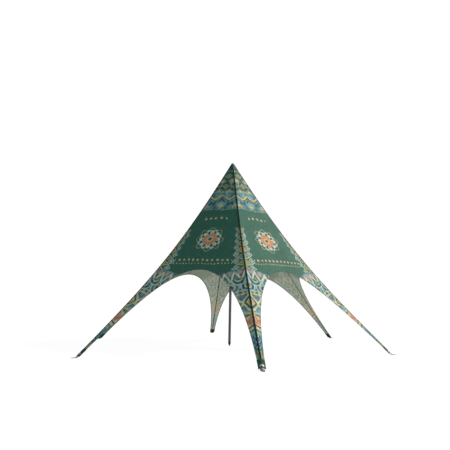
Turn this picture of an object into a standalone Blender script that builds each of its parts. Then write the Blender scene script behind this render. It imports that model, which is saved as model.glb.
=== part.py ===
# Single-pole star tent with six legs, in metres, +Z up, origin on the ground under the pole.
# Six fabric panels hang from one crown and come down to six narrow legs, with a walk-through
# arch between each pair of legs. Leg 1 points to the front, along -Y, and the rest follow
# anticlockwise as seen from above. Panel 1 lies between legs 1 and 2.

from math import cos, pi, radians, sin, sqrt, tan

import bmesh
import bpy
import numpy as np
from mathutils import Matrix

# Driving dimensions of the canopy
LEG_COUNT = 6
LEG_RADIUS = 4.930  # from the pole to the end of the fabric, in plan
RIDGE_APEX = 6.058  # where the six ridge lines would meet above the crown
RIDGE_UPPER_PULL = (2.060, 2.890)  # radius and height of the points that draw the ridge line in
RIDGE_LOWER_PULL = (3.080, 1.885)
RIDGE_END_HEIGHT = 0.082  # ridge line above the ground at the end of a leg
RIDGE_STEPS = 2000  # of the table that the ridge line is looked up in
ARCH_RADIUS = 2.388  # from the pole to the crown of an arch, in plan
LEG_HALF_WIDTH = 0.085  # of the fabric at the end of a leg
TOP_RADIUS = 0.045  # where the panels start, under the crown cap
CAP_RADIUS = 0.200  # lower rim of the crown cap
CAP = 0.004
CAP_RIM = 0.007
CAP_RINGS = (0.012, 0.023, 0.032, 0.039)  # rings of the cap above the panels' tops
FABRIC = 0.005  # thickness the sheets are modelled with

# Bands and fittings on each leg
HEM_WIDTH = 0.025
HEM = 0.004
WEBBING_HALF_WIDTH = 0.024
WEBBING = 0.004
BOOT_LENGTH = 0.165
BOOT_EDGE = 0.001  # of fabric left clear round a boot
CLAMP_LENGTH = 0.034
CLAMP_HALF_WIDTH = 0.052
CLAMP_INSET = 0.014  # from the end of the fabric back to the clamp
CLAMP = 0.005
PLATE_HALF_WIDTH = 0.054
PLATE_TUCK = 0.120  # how far the foot plate runs up inside the leg
PLATE_REACH = 0.190  # how far its nose lies beyond the fabric
PLATE_SHOULDER = 0.045  # from the nose back to where the plate starts to narrow more
PLATE_SHOULDER_HALF_WIDTH = 0.040
PLATE_NOSE_HALF_WIDTH = 0.025
PLATE_NOSE = 0.018  # length of the rounded nose
PLATE_BEND = 0.028  # heights above and below the ground between which the slope bends
PLATE_BEND_STEPS = 6
PLATE = 0.006
PEG_HOLE_REACH = 0.135  # centre of the peg hole beyond the fabric
PEG_HOLE_RADIUS = 0.011

# Pole
POLE_RADIUS = 0.042
UPPER_POLE_RADIUS = 0.037
TUBE_WALL = 0.0035
LOWER_POLE_TOP = 3.080
POLE_LAP = 0.350  # upper tube inside the lower one
COLLAR_RADIUS = 0.050
COLLAR_HEIGHT = 0.110
COLLAR_LIP = 0.030  # collar above the end of the lower tube
PIN_RADIUS = 0.006
PIN_LENGTH = 0.124
PIN_HEIGHT = 3.040
PIN_STEPS = 12
FERRULE_HEIGHT = 0.150
FERRULE_TAPER = 0.124
FERRULE_TIP_RADIUS = 0.014
HEAD_SKIRT_RADIUS = 0.150
HEAD_SKIRT = 0.022
HEAD_CONE = 0.025  # height of the taper from the skirt to the hub
HEAD_STEPS = 5
HEAD_HUB_RADIUS = 0.052
HEAD_HUB = 0.120
PLUG_LENGTH = 0.110

GAP = 0.0003  # between pieces that touch
ROWS_ABOVE_ARCH = 9
ROWS_BESIDE_ARCH = 12
ROUND_STEPS = 24
HOLE_STEPS = 16
SMOOTH_UNDER = radians(30)  # edges that turn less than this are shaded smooth

FRONT = -pi / 2  # direction of leg 1
HALF_ANGLE = pi / LEG_COUNT  # between a ridge and the middle of its panel
COS_HALF, SIN_HALF, TAN_HALF = cos(HALF_ANGLE), sin(HALF_ANGLE), tan(HALF_ANGLE)

FOOT_CORNER = (
    LEG_RADIUS * COS_HALF + LEG_HALF_WIDTH * SIN_HALF,
    LEG_RADIUS * SIN_HALF - LEG_HALF_WIDTH * COS_HALF,
)


def clear_scene():
    for obj in list(bpy.data.objects):
        bpy.data.objects.remove(obj, do_unlink=True)


def material(name, colour, roughness, metallic=0.0):
    made = bpy.data.materials.new(name)
    made.use_nodes = True
    shader = made.node_tree.nodes["Principled BSDF"]
    shader.inputs["Base Color"].default_value = (*colour, 1.0)
    shader.inputs["Roughness"].default_value = roughness
    shader.inputs["Metallic"].default_value = metallic
    return made


# The shape of the canopy


def ridge_table():
    # A cubic curve from the apex to the leg's end, drawn in towards the pole by two points
    t = np.linspace(0, 1, RIDGE_STEPS + 1)[:, None]
    apex, end = np.array([0, RIDGE_APEX]), np.array([LEG_RADIUS, RIDGE_END_HEIGHT])
    upper, lower = np.array(RIDGE_UPPER_PULL), np.array(RIDGE_LOWER_PULL)
    ends = (1 - t) ** 3 * apex + t**3 * end
    return ends + 3 * t * (1 - t) ** 2 * upper + 3 * t * t * (1 - t) * lower


RIDGE = ridge_table()


def ridge_height(radius):
    if radius <= LEG_RADIUS:
        return float(np.interp(radius, RIDGE[:, 0], RIDGE[:, 1]))
    fall = (RIDGE_END_HEIGHT - RIDGE_LOWER_PULL[1]) / (LEG_RADIUS - RIDGE_LOWER_PULL[0])
    return RIDGE_END_HEIGHT + fall * (radius - LEG_RADIUS)


def arch_point(share):
    # The arch is a parabola in plan, from its crown (share 0) to a foot corner (share 1)
    reach = FOOT_CORNER[0] - ARCH_RADIUS
    return ARCH_RADIUS + reach * share * share, FOOT_CORNER[1] * share


def panel_rows():
    # Distances from the pole, along the middle of a panel, of its horizontal fold lines
    first, second = TOP_RADIUS * COS_HALF, CAP_RADIUS * COS_HALF
    steps = [(i / ROWS_ABOVE_ARCH) ** 1.3 for i in range(ROWS_ABOVE_ARCH + 1)]
    above = [second + (ARCH_RADIUS - second) * s for s in steps]
    beside = [arch_point(j / ROWS_BESIDE_ARCH)[0] for j in range(1, ROWS_BESIDE_ARCH + 1)]
    return [first] + above + beside


ROWS = panel_rows()
ROW_HEIGHTS = [ridge_height(x / COS_HALF) for x in ROWS]


def sheet_height(across):
    # Top of the fabric at a distance from the pole measured along the middle of a panel
    return float(np.interp(across, ROWS, ROW_HEIGHTS))


def upright(across, thickness):
    # Height taken up by a layer of this thickness where it lies on the sloping fabric
    step = 0.02
    fall = (ridge_height((across + step) / COS_HALF) - ridge_height(across / COS_HALF)) / step
    return thickness * sqrt(1 + fall * fall)


def ridge_to_panel(x, y):
    # Distance along the middle of the panel of a point beside a ridge that lies on +X
    return x * COS_HALF + abs(y) * SIN_HALF


def on_ridge(layer_below, thickness):
    # Bottom and top of a layer that lies over a ridge, on what is layer_below thick
    def bottom(x, y):
        across = ridge_to_panel(x, y)
        return sheet_height(across) + upright(across, layer_below)

    def top(x, y):
        across = ridge_to_panel(x, y)
        return sheet_height(across) + upright(across, layer_below + thickness)

    return bottom, top


# Making solids


def add_object(name, mesh, finish, turn=0.0):
    mesh.materials.append(finish)
    obj = bpy.data.objects.new(name, mesh)
    obj.rotation_euler = (0, 0, turn)
    bpy.context.scene.collection.objects.link(obj)
    return obj


def mesh_from(bm, name):
    bmesh.ops.recalc_face_normals(bm, faces=bm.faces)
    mesh = bpy.data.meshes.new(name)
    bm.to_mesh(mesh)
    bm.free()
    mesh.shade_smooth()
    mesh.set_sharp_from_angle(angle=SMOOTH_UNDER)
    return mesh


def slab(name, patches, bottom, top):
    # A closed solid over plan patches, between two height functions
    bm = bmesh.new()
    corners = {}

    def corner(x, y, upper):
        key = (round(x, 5), round(y, 5), upper)
        if key not in corners:
            corners[key] = bm.verts.new((x, y, (top if upper else bottom)(x, y)))
        return corners[key]

    edges = {}
    for patch in patches:
        for level in (True, False):
            ring = [corner(x, y, level) for x, y in patch]
            bm.faces.new(ring if level else ring[::-1])
        for a, b in zip(patch, patch[1:] + patch[:1]):
            key = tuple(sorted((tuple(np.round(a, 5)), tuple(np.round(b, 5)))))
            edges.setdefault(key, []).append((a, b))
    for sides in edges.values():
        if len(sides) == 1:
            a, b = sides[0]
            bm.faces.new((corner(*b, True), corner(*a, True), corner(*a, False), corner(*b, False)))
    bmesh.ops.triangulate(bm, faces=[f for f in bm.faces if len(f.verts) > 4])
    return mesh_from(bm, name)


def turned(name, profile, closed=False, steps=ROUND_STEPS):
    # A body of revolution about Z from (radius, height) points; a closed profile makes a tube
    bm = bmesh.new()
    points = [bm.verts.new((r, 0, z)) for r, z in profile]
    pairs = list(zip(points, points[1:]))
    if closed:
        pairs.append((points[-1], points[0]))
    edges = [bm.edges.new(pair) for pair in pairs]
    bmesh.ops.spin(
        bm, geom=points + edges, cent=(0, 0, 0), axis=(0, 0, 1), angle=2 * pi, steps=steps
    )
    bmesh.ops.remove_doubles(bm, verts=bm.verts, dist=1e-5)
    return mesh_from(bm, name)


def lofted(name, rings):
    # A closed body through rings with the same number of points, flat at both ends
    bm = bmesh.new()
    loops = [[bm.verts.new(point) for point in ring] for ring in rings]
    count = len(rings[0])
    for here, there in zip(loops, loops[1:]):
        for i in range(count):
            k = (i + 1) % count
            bm.faces.new((here[i], here[k], there[k], there[i]))
    bm.faces.new(loops[0])
    bm.faces.new(loops[-1])
    return mesh_from(bm, name)


def cutter(name, mesh):
    obj = bpy.data.objects.new(name, mesh)
    obj.hide_render = True
    obj.display_type = "WIRE"
    bpy.context.scene.collection.objects.link(obj)
    return obj


def cut(obj, tool):
    modifier = obj.modifiers.new("hole", "BOOLEAN")
    modifier.operation = "DIFFERENCE"
    modifier.solver = "EXACT"
    modifier.object = tool


# Canopy panels


def half_panel_patches():
    # Plan patches of the half with y above 0; columns are rays from the pole to arch points
    arch = [arch_point(j / ROWS_BESIDE_ARCH) for j in range(ROWS_BESIDE_ARCH + 1)]
    rays = [y / x for x, y in arch] + [TAN_HALF]
    above = len(ROWS) - ROWS_BESIDE_ARCH
    last = len(ROWS) - 1
    ridge_end = (LEG_RADIUS * COS_HALF, LEG_RADIUS * SIN_HALF)

    def point(row, column):
        if row == last:
            return FOOT_CORNER if column == len(arch) - 1 else ridge_end
        return ROWS[row], ROWS[row] * rays[column]

    patches = []
    for row in range(last):
        first = max(0, row - above + 1)  # the first ray that still has fabric on this row
        for column in range(first, len(rays) - 1):
            here, there = point(row, column), point(row, column + 1)
            if row + 1 < above or column > row - above + 1:
                patches.append([here, point(row + 1, column), point(row + 1, column + 1), there])
            else:
                patches.append([here, point(row + 1, column + 1), there])
    return patches


def in_from_ridge(point):
    # Pulls a point that lies on a ridge plane back by half a gap
    x, y = point
    if abs(abs(y) / x - TAN_HALF) > 1e-6:
        return x, y
    side = 1 if y > 0 else -1
    return x, y - side * GAP / 2 / COS_HALF


def canopy_panels(finish):
    half = half_panel_patches()
    mirrored = [[(x, -y) for x, y in patch[::-1]] for patch in half]
    patches = [[in_from_ridge(p) for p in patch] for patch in half + mirrored]
    mesh = slab(
        "canopy_panel",
        patches,
        lambda x, y: sheet_height(x) - upright(x, FABRIC),
        lambda x, y: sheet_height(x),
    )
    mesh.materials.append(finish)
    for leg in range(LEG_COUNT):
        obj = bpy.data.objects.new(f"canopy_panel_{leg + 1}", mesh)
        obj.rotation_euler = (0, 0, FRONT + HALF_ANGLE * (2 * leg + 1))
        bpy.context.scene.collection.objects.link(obj)


# Hems along the arches


def split_at_rows(patches):
    # Cuts plan patches where the sheet folds, so that each lies on one flat strip of it
    done = []
    for patch in patches:
        low, high = min(x for x, y in patch), max(x for x, y in patch)
        folds = [x for x in ROWS if low + 1e-6 < x < high - 1e-6]
        for start, end in zip([low] + folds, folds + [high]):
            piece = clipped(clipped(patch, start, 1), end, -1)
            if len(piece) > 2:
                done.append(piece)
    return done


def clipped(patch, limit, side):
    # Keeps the part of a convex patch on one side of a fold line
    kept = []
    for (ax, ay), (bx, by) in zip(patch, patch[1:] + patch[:1]):
        if side * (ax - limit) > -1e-9:
            kept.append((ax, ay))
        if (ax - limit) * (bx - limit) < -1e-12:
            share = (limit - ax) / (bx - ax)
            kept.append((limit, ay + (by - ay) * share))
    return kept


def hem_patches():
    shares = [j / ROWS_BESIDE_ARCH for j in range(-ROWS_BESIDE_ARCH, ROWS_BESIDE_ARCH + 1)]
    outer = [arch_point(share) for share in shares]
    inner = []
    for share, (x, y) in zip(shares, outer):
        along_x = 2 * share * (FOOT_CORNER[0] - ARCH_RADIUS)
        length = sqrt(along_x**2 + FOOT_CORNER[1] ** 2)
        inward = HEM_WIDTH / length
        inner.append((x - FOOT_CORNER[1] * inward, y + along_x * inward))
    patches = []
    for i in range(len(shares) - 1):
        patches.append([inner[i], outer[i], outer[i + 1], inner[i + 1]])
    return split_at_rows(patches)


def arch_hems(finish):
    mesh = slab(
        "arch_hem",
        hem_patches(),
        lambda x, y: sheet_height(x) - upright(x, FABRIC + HEM) - GAP,
        lambda x, y: sheet_height(x) - upright(x, FABRIC) - GAP,
    )
    for obj in copies_on_legs("arch_hem", mesh, finish):
        obj.rotation_euler.z += HALF_ANGLE


# Bands along the ridges


def band_patches(stations, half_width):
    patches = []
    for side in (1, -1):
        for a, b in zip(stations, stations[1:]):
            ring = [(a, 0.0), (b, 0.0), (b, side * half_width), (a, side * half_width)]
            patches.append(ring if side > 0 else ring[::-1])
    return patches


def copies_on_legs(name, mesh, finish):
    mesh.materials.append(finish)
    made = []
    for leg in range(LEG_COUNT):
        obj = bpy.data.objects.new(f"{name}_{leg + 1}", mesh)
        obj.rotation_euler = (0, 0, FRONT + 2 * HALF_ANGLE * leg)
        bpy.context.scene.collection.objects.link(obj)
        made.append(obj)
    return made


def ridge_webbings(finish):
    start, end = CAP_RADIUS + 2 * GAP, LEG_RADIUS - BOOT_LENGTH - GAP
    folds = [x / COS_HALF for x in ROWS if start < x / COS_HALF < end]
    bottom, top = on_ridge(GAP, WEBBING)
    patches = band_patches([start] + folds + [end], WEBBING_HALF_WIDTH)
    mesh = slab("ridge_webbing", patches, bottom, top)
    copies_on_legs("ridge_webbing", mesh, finish)


def leg_boots(finish):
    # Black reinforcement over the end of a leg
    end = LEG_RADIUS - BOOT_EDGE
    start = LEG_RADIUS - BOOT_LENGTH
    half_start = leg_half_width(start) - BOOT_EDGE
    half_end = leg_half_width(end) - BOOT_EDGE
    patches = [
        [(start, 0), (end, 0), (end, half_end), (start, half_start)],
        [(start, -half_start), (end, -half_end), (end, 0), (start, 0)],
    ]
    bottom, top = on_ridge(GAP, WEBBING)
    copies_on_legs("leg_boot", slab("leg_boot", patches, bottom, top), finish)


def leg_half_width(radius):
    # Half the width of the fabric in plan, across a leg at this distance from the pole
    shares = [j / ROWS_BESIDE_ARCH for j in range(ROWS_BESIDE_ARCH + 1)]
    along, half = [], []
    for x, y in map(arch_point, shares):
        along.append(x * COS_HALF + y * SIN_HALF)
        half.append(x * SIN_HALF - y * COS_HALF)
    return float(np.interp(radius, along, half))


# Steel fittings at the end of a leg


def foot_clamps(finish):
    # A folded steel strip that presses the end of a leg onto the foot plate
    end = LEG_RADIUS - CLAMP_INSET
    bottom, top = on_ridge(WEBBING + 2 * GAP, CLAMP)
    mesh = slab("foot_clamp", band_patches([end - CLAMP_LENGTH, end], CLAMP_HALF_WIDTH), bottom, top)
    copies_on_legs("foot_clamp", mesh, finish)


def last_fall():
    # Slope of the fabric on its last fold strip, along the middle of a panel
    return (ROW_HEIGHTS[-1] - ROW_HEIGHTS[-2]) / (ROWS[-1] - ROWS[-2])


def plate_slope(x, y):
    # Underside of the foot plate, if it ran straight on from the inside of the fabric
    fabric = ROW_HEIGHTS[-1] + last_fall() * (ridge_to_panel(x, y) - ROWS[-1])
    return fabric - upright(ROWS[-2], FABRIC + PLATE) - GAP


def slope_reach(height, y):
    # Distance from the pole at which that straight run is at this height
    return LEG_RADIUS + (height - plate_slope(LEG_RADIUS, y)) / (last_fall() * COS_HALF)


def plate_bottom(x, y):
    # The slope turns into the ground over a smooth bend
    height = plate_slope(x, y)
    if height < -PLATE_BEND:
        return 0.0
    if height > PLATE_BEND:
        return height
    return (height + PLATE_BEND) ** 2 / (4 * PLATE_BEND)


def plate_top(x, y):
    height = plate_slope(x, y)
    steepness = min(max((height + PLATE_BEND) / (2 * PLATE_BEND), 0.0), 1.0)
    return plate_bottom(x, y) + upright(ROWS[-2], PLATE) * steepness + PLATE * (1 - steepness)


def foot_plates(finish):
    start = LEG_RADIUS - PLATE_TUCK
    half, nose = PLATE_HALF_WIDTH, LEG_RADIUS + PLATE_REACH
    bend = [PLATE_BEND * (1 - 2 * i / PLATE_BEND_STEPS) for i in range(PLATE_BEND_STEPS + 1)]
    middle = [start] + [slope_reach(height, 0.0) for height in bend]
    side = [start] + [slope_reach(height, half) for height in bend]
    half_patches = []
    for i in range(len(bend)):
        ring = [(middle[i], 0.0), (middle[i + 1], 0.0), (side[i + 1], half), (side[i], half)]
        half_patches.append(ring)
    edge = [
        (nose, 0.0),
        (nose - PLATE_NOSE / 4, PLATE_NOSE_HALF_WIDTH * 0.6),
        (nose - PLATE_NOSE, PLATE_NOSE_HALF_WIDTH),
        (nose - PLATE_SHOULDER, PLATE_SHOULDER_HALF_WIDTH),
    ]
    half_patches.append([(middle[-1], 0.0), *edge, (side[-1], half)])
    mirrored = [[(x, -y) for x, y in patch[::-1]] for patch in half_patches]
    mesh = slab("foot_plate", half_patches + mirrored, plate_bottom, plate_top)
    hole = turned("peg_hole", tube_profile(0, PEG_HOLE_RADIUS, -PLATE, 2 * PLATE), steps=HOLE_STEPS)
    hole.transform(Matrix.Translation((LEG_RADIUS + PEG_HOLE_REACH, 0, 0)))
    for leg, obj in enumerate(copies_on_legs("foot_plate", mesh, finish)):
        tool = cutter(f"peg_hole_{leg + 1}", hole)
        tool.rotation_euler = obj.rotation_euler
        cut(obj, tool)


# Crown and pole


def tube_profile(inner, outer, low, high):
    return [(inner, low), (outer, low), (outer, high), (inner, high)]


def dome_height(radius):
    # Top of the pole head: a ball cap that runs on into the slope of the fabric's inside
    rim = TOP_RADIUS * COS_HALF
    fall = (ROW_HEIGHTS[1] - ROW_HEIGHTS[0]) / (ROWS[1] - ROWS[0])
    rim_height = ROW_HEIGHTS[0] - upright(rim, FABRIC) - GAP
    if radius >= rim:
        return rim_height + fall * (radius - rim)
    ball = rim * sqrt(1 + 1 / fall**2)
    return rim_height + sqrt(ball**2 - radius**2) - sqrt(ball**2 - rim**2)


def cap_ring(ridge_radius, layer):
    # One ring of the cap: round at the top, six-sided where it lies on the panels
    across = ridge_radius * COS_HALF
    share = min(1.0, ridge_radius / TOP_RADIUS)
    if ridge_radius < TOP_RADIUS:
        height = dome_height(across) + upright(ROWS[0], FABRIC) + 2 * GAP
    else:
        height = sheet_height(across) + GAP
    ring = []
    for i in range(ROUND_STEPS):
        angle = 2 * pi * i / ROUND_STEPS
        six_sided = across / cos(angle % (2 * HALF_ANGLE) - HALF_ANGLE)
        radius = six_sided * share + across * (1 - share)
        ring.append((radius * cos(angle), radius * sin(angle), height + layer))
    return ring


def crown_cap(finish):
    top = [(radius, CAP) for radius in CAP_RINGS]
    layers = top + [(TOP_RADIUS, CAP_RIM), (CAP_RADIUS, CAP_RIM)]
    inside = [cap_ring(radius, 0.0) for radius, layer in layers]
    outside = [cap_ring(radius, layer) for radius, layer in layers[::-1]]
    add_object("crown_cap", lofted("crown_cap", inside + outside), finish, FRONT)


def pole_head(finish):
    rim = TOP_RADIUS * COS_HALF
    curve = [rim * i / HEAD_STEPS for i in range(HEAD_STEPS + 1)]
    skirt_height = dome_height(HEAD_SKIRT_RADIUS)
    hub_end = skirt_height - HEAD_SKIRT - HEAD_HUB
    plug = UPPER_POLE_RADIUS - TUBE_WALL - GAP
    profile = [(r, dome_height(r)) for r in curve]
    profile += [
        (HEAD_SKIRT_RADIUS, skirt_height),
        (HEAD_SKIRT_RADIUS, skirt_height - HEAD_SKIRT),
        (HEAD_HUB_RADIUS, skirt_height - HEAD_SKIRT - HEAD_CONE),
        (HEAD_HUB_RADIUS, hub_end),
        (plug, hub_end),
        (plug, hub_end - PLUG_LENGTH),
        (0, hub_end - PLUG_LENGTH),
    ]
    add_object("pole_head", turned("pole_head", profile), finish)
    return hub_end


def pole_tubes(finish, head_shoulder):
    lap_end = LOWER_POLE_TOP - POLE_LAP
    inner = UPPER_POLE_RADIUS - TUBE_WALL
    upper = tube_profile(inner, UPPER_POLE_RADIUS, lap_end, head_shoulder - GAP)
    inner = UPPER_POLE_RADIUS + GAP
    lower = tube_profile(inner, POLE_RADIUS, FERRULE_HEIGHT + GAP, LOWER_POLE_TOP)
    return [
        add_object("pole_upper", turned("pole_upper", upper, closed=True), finish),
        add_object("pole_lower", turned("pole_lower", lower, closed=True), finish),
    ]


def pole_collar(finish):
    # A sleeve over the end of the lower tube, with a lip that closes in on the upper one
    top = LOWER_POLE_TOP + COLLAR_LIP
    profile = [
        (POLE_RADIUS + GAP, top - COLLAR_HEIGHT),
        (COLLAR_RADIUS, top - COLLAR_HEIGHT),
        (COLLAR_RADIUS, top),
        (UPPER_POLE_RADIUS + GAP, top),
        (UPPER_POLE_RADIUS + GAP, LOWER_POLE_TOP + GAP),
        (POLE_RADIUS + GAP, LOWER_POLE_TOP + GAP),
    ]
    return add_object("pole_collar", turned("pole_collar", profile, closed=True), finish)


def pole_pin(finish, pierced):
    across = Matrix.Translation((0, 0, PIN_HEIGHT)) @ Matrix.Rotation(pi / 2, 4, "X")
    bore = tube_profile(0, PIN_RADIUS + GAP, -PIN_LENGTH, PIN_LENGTH)
    hole = turned("pin_hole", bore, steps=PIN_STEPS)
    hole.transform(across)
    tool = cutter("pin_hole", hole)
    for obj in pierced:
        cut(obj, tool)
    body = tube_profile(0, PIN_RADIUS, -PIN_LENGTH / 2, PIN_LENGTH / 2)
    pin = turned("pole_pin", body, steps=PIN_STEPS)
    pin.transform(across)
    add_object("pole_pin", pin, finish)


def pole_ferrule(finish):
    # A tapered foot that plugs into the lower tube
    profile = [
        (0, 0),
        (FERRULE_TIP_RADIUS, 0),
        (POLE_RADIUS, FERRULE_TAPER),
        (POLE_RADIUS, FERRULE_HEIGHT),
        (UPPER_POLE_RADIUS, FERRULE_HEIGHT),
        (UPPER_POLE_RADIUS, FERRULE_HEIGHT + PLUG_LENGTH),
        (0, FERRULE_HEIGHT + PLUG_LENGTH),
    ]
    add_object("pole_ferrule", turned("pole_ferrule", profile), finish)


def main():
    clear_scene()
    printed = material("printed_fabric", (0.075, 0.135, 0.115), 0.75)
    webbing = material("black_webbing", (0.012, 0.022, 0.020), 0.8)
    steel = material("zinc_steel", (0.62, 0.63, 0.62), 0.35, 1.0)
    grey = material("pole_coating", (0.045, 0.05, 0.055), 0.4, 0.6)
    black = material("black_plastic", (0.015, 0.015, 0.016), 0.5)
    canopy_panels(printed)
    arch_hems(webbing)
    ridge_webbings(webbing)
    leg_boots(webbing)
    foot_clamps(steel)
    foot_plates(steel)
    crown_cap(printed)
    tubes = pole_tubes(grey, pole_head(black))
    pole_pin(steel, [*tubes, pole_collar(black)])
    pole_ferrule(black)
    bpy.context.view_layer.update()


main()
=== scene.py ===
from math import cos, pi, radians, sin, sqrt, tan

import bmesh
import bpy
import numpy as np
from mathutils import Matrix, Vector


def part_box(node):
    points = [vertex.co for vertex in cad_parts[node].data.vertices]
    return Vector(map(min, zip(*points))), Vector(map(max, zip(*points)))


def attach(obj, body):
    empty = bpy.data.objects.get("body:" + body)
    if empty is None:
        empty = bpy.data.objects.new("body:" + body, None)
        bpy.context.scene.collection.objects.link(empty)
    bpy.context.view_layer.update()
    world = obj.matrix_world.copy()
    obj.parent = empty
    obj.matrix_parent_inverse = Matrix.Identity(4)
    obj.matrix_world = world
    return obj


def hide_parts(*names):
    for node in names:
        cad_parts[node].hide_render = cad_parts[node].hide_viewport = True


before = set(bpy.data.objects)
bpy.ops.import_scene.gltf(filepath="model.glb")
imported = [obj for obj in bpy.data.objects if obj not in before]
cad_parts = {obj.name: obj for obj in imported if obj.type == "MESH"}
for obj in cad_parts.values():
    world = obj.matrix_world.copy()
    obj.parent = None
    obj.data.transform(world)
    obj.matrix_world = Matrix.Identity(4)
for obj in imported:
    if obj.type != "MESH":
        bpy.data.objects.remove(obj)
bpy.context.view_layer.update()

print("frame loaded")

# Shape of the canopy, in metres; a ridge line is a cubic curve from the apex to a leg's end
tent = {
    "legs": 6,
    "legRadius": 4.930,  # from the pole to the end of the fabric
    "apexHeight": 6.058,  # where the ridge lines would meet
    "upperPull": (2.060, 2.890),  # radius and height of the points that draw the ridge line in
    "lowerPull": (3.080, 1.885),
    "endHeight": 0.082,
    "archRadius": 2.388,  # from the pole to the crown of an arch
    "legHalfWidth": 0.085,
    "topRadius": 0.045,  # where the panels start under the cap
}
halfAngle = pi / tent["legs"]
front = -pi / 2  # direction of leg 1
cosHalf, sinHalf, tanHalf = cos(halfAngle), sin(halfAngle), tan(halfAngle)
footCorner = (
    tent["legRadius"] * cosHalf + tent["legHalfWidth"] * sinHalf,
    tent["legRadius"] * sinHalf - tent["legHalfWidth"] * cosHalf,
)
ridgeEnd = (tent["legRadius"] * cosHalf, tent["legRadius"] * sinHalf)


def ridgeTable():
    t = np.linspace(0, 1.03, 2400)[:, None]  # a little past the end, for what lies beyond the cloth
    apex, end = np.array([0, tent["apexHeight"]]), np.array([tent["legRadius"], tent["endHeight"]])
    upper, lower = np.array(tent["upperPull"]), np.array(tent["lowerPull"])
    return (1 - t) ** 3 * apex + t**3 * end + 3 * t * (1 - t) ** 2 * upper + 3 * t * t * (1 - t) * lower


ridgeLine = ridgeTable()


def ridgeHeight(radius):
    return np.interp(radius, ridgeLine[:, 0], ridgeLine[:, 1])


def sheetHeight(x):
    # Top of the cloth at a distance from the pole along the middle of a panel
    return ridgeHeight(np.asarray(x, float) / cosHalf)


def fallAt(x):
    step = 0.002
    return (sheetHeight(x + step) - sheetHeight(x - step)) / (2 * step)


def archPoint(share):
    # Plan of an arch, a parabola from its crown (0) to a foot corner (1 or -1)
    reach = footCorner[0] - tent["archRadius"]
    return tent["archRadius"] + reach * share * share, footCorner[1] * share


stations = np.linspace(0.03, footCorner[0] + 0.1, 1200)
stationHeights = sheetHeight(stations)
rises = np.diff(stationHeights)
downLengths = np.concatenate([[0], np.cumsum(np.hypot(np.diff(stations), rises))])
ridgeLengths = np.concatenate([[0], np.cumsum(np.hypot(np.diff(stations) / cosHalf, rises))])


def downAt(x):
    return np.interp(x, stations, downLengths)


def ridgeAt(x):
    return np.interp(x, stations, ridgeLengths)


def turnsBy(share):
    # The number of each leg with its turn, or of each panel, which is half an angle further round
    angles = [front + halfAngle * (2 * leg + share) for leg in range(tent["legs"])]
    return [(number, Matrix.Rotation(angle, 4, "Z")) for number, angle in enumerate(angles, 1)]


legTurns, panelTurns = turnsBy(0), turnsBy(1)


# Nodes


def give(thing, **values):
    for key, value in values.items():
        setattr(thing, key, value)
    return thing


def mathWith(operation, swapped=False):
    def combine(self, other):
        first, second = (other, self) if swapped else (self, other)
        return self.nodes.math(operation, first, second)
    return combine


class Number:
    # A number that comes from a socket; sums written with it become Math nodes
    def __init__(self, nodes, socket):
        self.nodes = nodes
        self.socket = socket

    def __abs__(self):
        return self.nodes.math("ABSOLUTE", self)

    __add__ = __radd__ = mathWith("ADD")
    __mul__ = __rmul__ = mathWith("MULTIPLY")
    __sub__ = mathWith("SUBTRACT")
    __rsub__ = mathWith("SUBTRACT", swapped=True)
    __truediv__ = mathWith("DIVIDE")
    __rtruediv__ = mathWith("DIVIDE", swapped=True)


class Nodes:
    def __init__(self, tree):
        self.tree = tree

    def node(self, kind, settings=None, sockets=None):
        made = give(self.tree.nodes.new(kind), **(settings or {}))
        for key, value in (sockets or {}).items():
            value = getattr(value, "socket", value)
            if isinstance(value, bpy.types.NodeSocket):
                self.tree.links.new(value, made.inputs[key])
            elif isinstance(value, tuple) and made.inputs[key].type == "RGBA":
                made.inputs[key].default_value = (*value, 1)
            else:
                made.inputs[key].default_value = value
        return made

    def out(self, *wanted):
        # The first output of a new node
        return self.node(*wanted).outputs[0]

    def math(self, operation, *values):
        return Number(self, self.out("ShaderNodeMath", {"operation": operation}, dict(enumerate(values))))


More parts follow.
